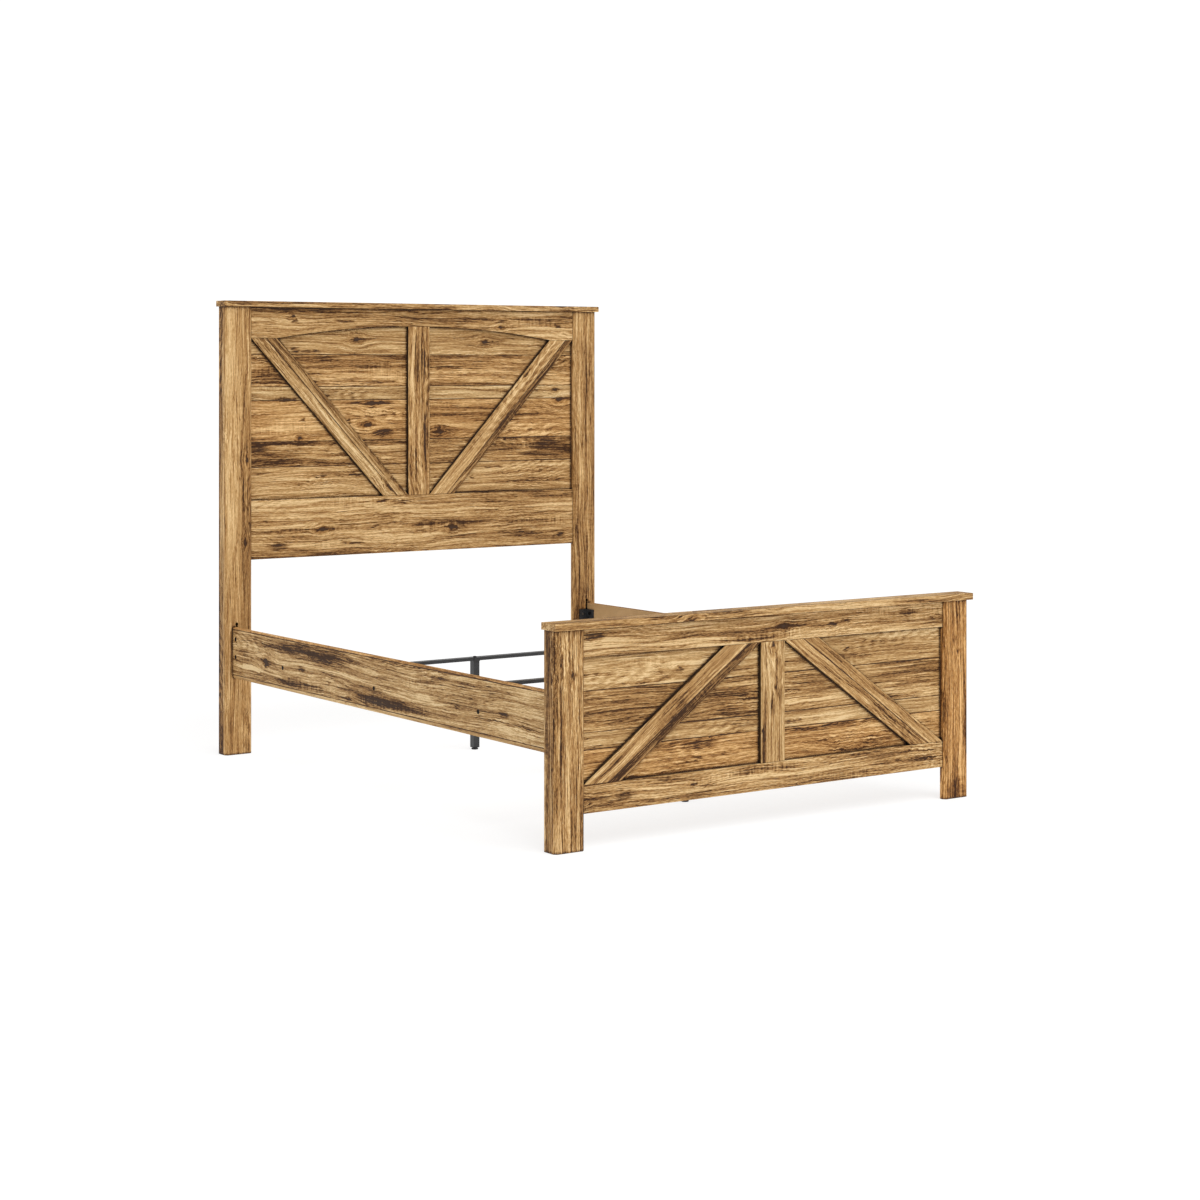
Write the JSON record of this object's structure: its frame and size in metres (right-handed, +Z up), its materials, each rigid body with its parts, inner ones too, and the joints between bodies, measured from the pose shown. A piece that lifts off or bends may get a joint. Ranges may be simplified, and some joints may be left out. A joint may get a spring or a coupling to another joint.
{
  "type": "bed frame",
  "caption": "Farmhouse panel bed frame with a tall arched-rail headboard, low braced footboard, hook-on side rails and steel cross supports on levelling legs.",
  "frame": {"origin": "on the floor, under the middle of the whole bed", "axes": "+X across the bed to its right as seen from the foot end, +Y towards the headboard, +Z up"},
  "size_m": [1.656, 2.221, 1.6545],
  "materials": {
    "post_wood": "laminated board with a rustic plank print, satin",
    "cap_wood": "laminated board with a rustic plank print, satin",
    "board_rail_wood": "laminated board with a rustic plank print, satin",
    "brace_wood": "laminated board with a rustic plank print, satin",
    "rail_wood": "laminated board with a rustic plank print, satin",
    "tan_backed_board": "plank print on the front, plain tan on the back",
    "plain_tan_board": "plain tan board, matte",
    "beech_dowel": "bare beech",
    "black_steel": "satin black powder coat",
    "black_fasteners": "black oxide",
    "zinc_fasteners": "zinc plated",
    "black_plastic": "moulded, matte"
  },
  "bodies": {
    "bed_frame": {"bracket_screws": "zinc_fasteners", "centre_leg_foot": "black_steel", "centre_leg_head": "black_steel", "centre_leg_middle": "black_steel", "cross_support_foot": "black_steel", "cross_support_head": "black_steel", "cross_support_middle": "black_steel", "foot_back_board_left": "plain_tan_board", "foot_back_board_right": "plain_tan_board", "foot_bottom_batten": "plain_tan_board", "foot_bottom_rail": "board_rail_wood", "foot_brace_left": "brace_wood", "foot_brace_right": "brace_wood", "foot_cap": "cap_wood", "foot_cap_dowels": "beech_dowel", "foot_panel": "tan_backed_board", "foot_post_left_front": "post_wood", "foot_post_left_side": "post_wood", "foot_post_right_front": "post_wood", "foot_post_right_side": "post_wood", "foot_screws": "zinc_fasteners", "foot_stile": "brace_wood", "foot_top_batten": "plain_tan_board", "foot_top_rail": "board_rail_wood", "head_back_board_left": "plain_tan_board", "head_back_board_right": "plain_tan_board", "head_bottom_batten": "plain_tan_board", "head_bottom_rail": "board_rail_wood", "head_brace_left": "brace_wood", "head_brace_right": "brace_wood", "head_cap": "cap_wood", "head_cap_dowels": "beech_dowel", "head_panel": "tan_backed_board", "head_post_left_front": "post_wood", "head_post_left_side": "post_wood", "head_post_right_front": "post_wood", "head_post_right_side": "post_wood", "head_screws": "zinc_fasteners", "head_stile": "brace_wood", "head_top_batten": "plain_tan_board", "head_top_rail": "board_rail_wood", "hook_bracket_foot_left": "black_steel", "hook_bracket_foot_right": "black_steel", "hook_bracket_head_left": "black_steel", "hook_bracket_head_right": "black_steel", "hook_pins": "zinc_fasteners", "leg_bolts": "black_fasteners", "leg_nuts": "black_fasteners", "leg_plugs": "black_plastic", "rail_bolts": "black_fasteners", "rail_nuts": "black_fasteners", "side_rail_left": "rail_wood", "side_rail_right": "rail_wood", "support_bolts": "black_fasteners", "support_end_plates": "black_steel", "support_nuts": "black_fasteners"},
    "glide_head": {"levelling_glide_head": "black_plastic"},
    "glide_middle": {"levelling_glide_middle": "black_plastic"},
    "glide_foot": {"levelling_glide_foot": "black_plastic"}
  },
  "joints": [
    {"name": "glide_head_height", "type": "slide", "parent": "bed_frame", "child": "glide_head", "axis": [0, 0, 1], "range_m": [-0.012, 0.0022]},
    {"name": "glide_middle_height", "type": "slide", "parent": "bed_frame", "child": "glide_middle", "axis": [0, 0, 1], "range_m": [-0.012, 0.0022]},
    {"name": "glide_foot_height", "type": "slide", "parent": "bed_frame", "child": "glide_foot", "axis": [0, 0, 1], "range_m": [-0.012, 0.0022]}
  ]
}
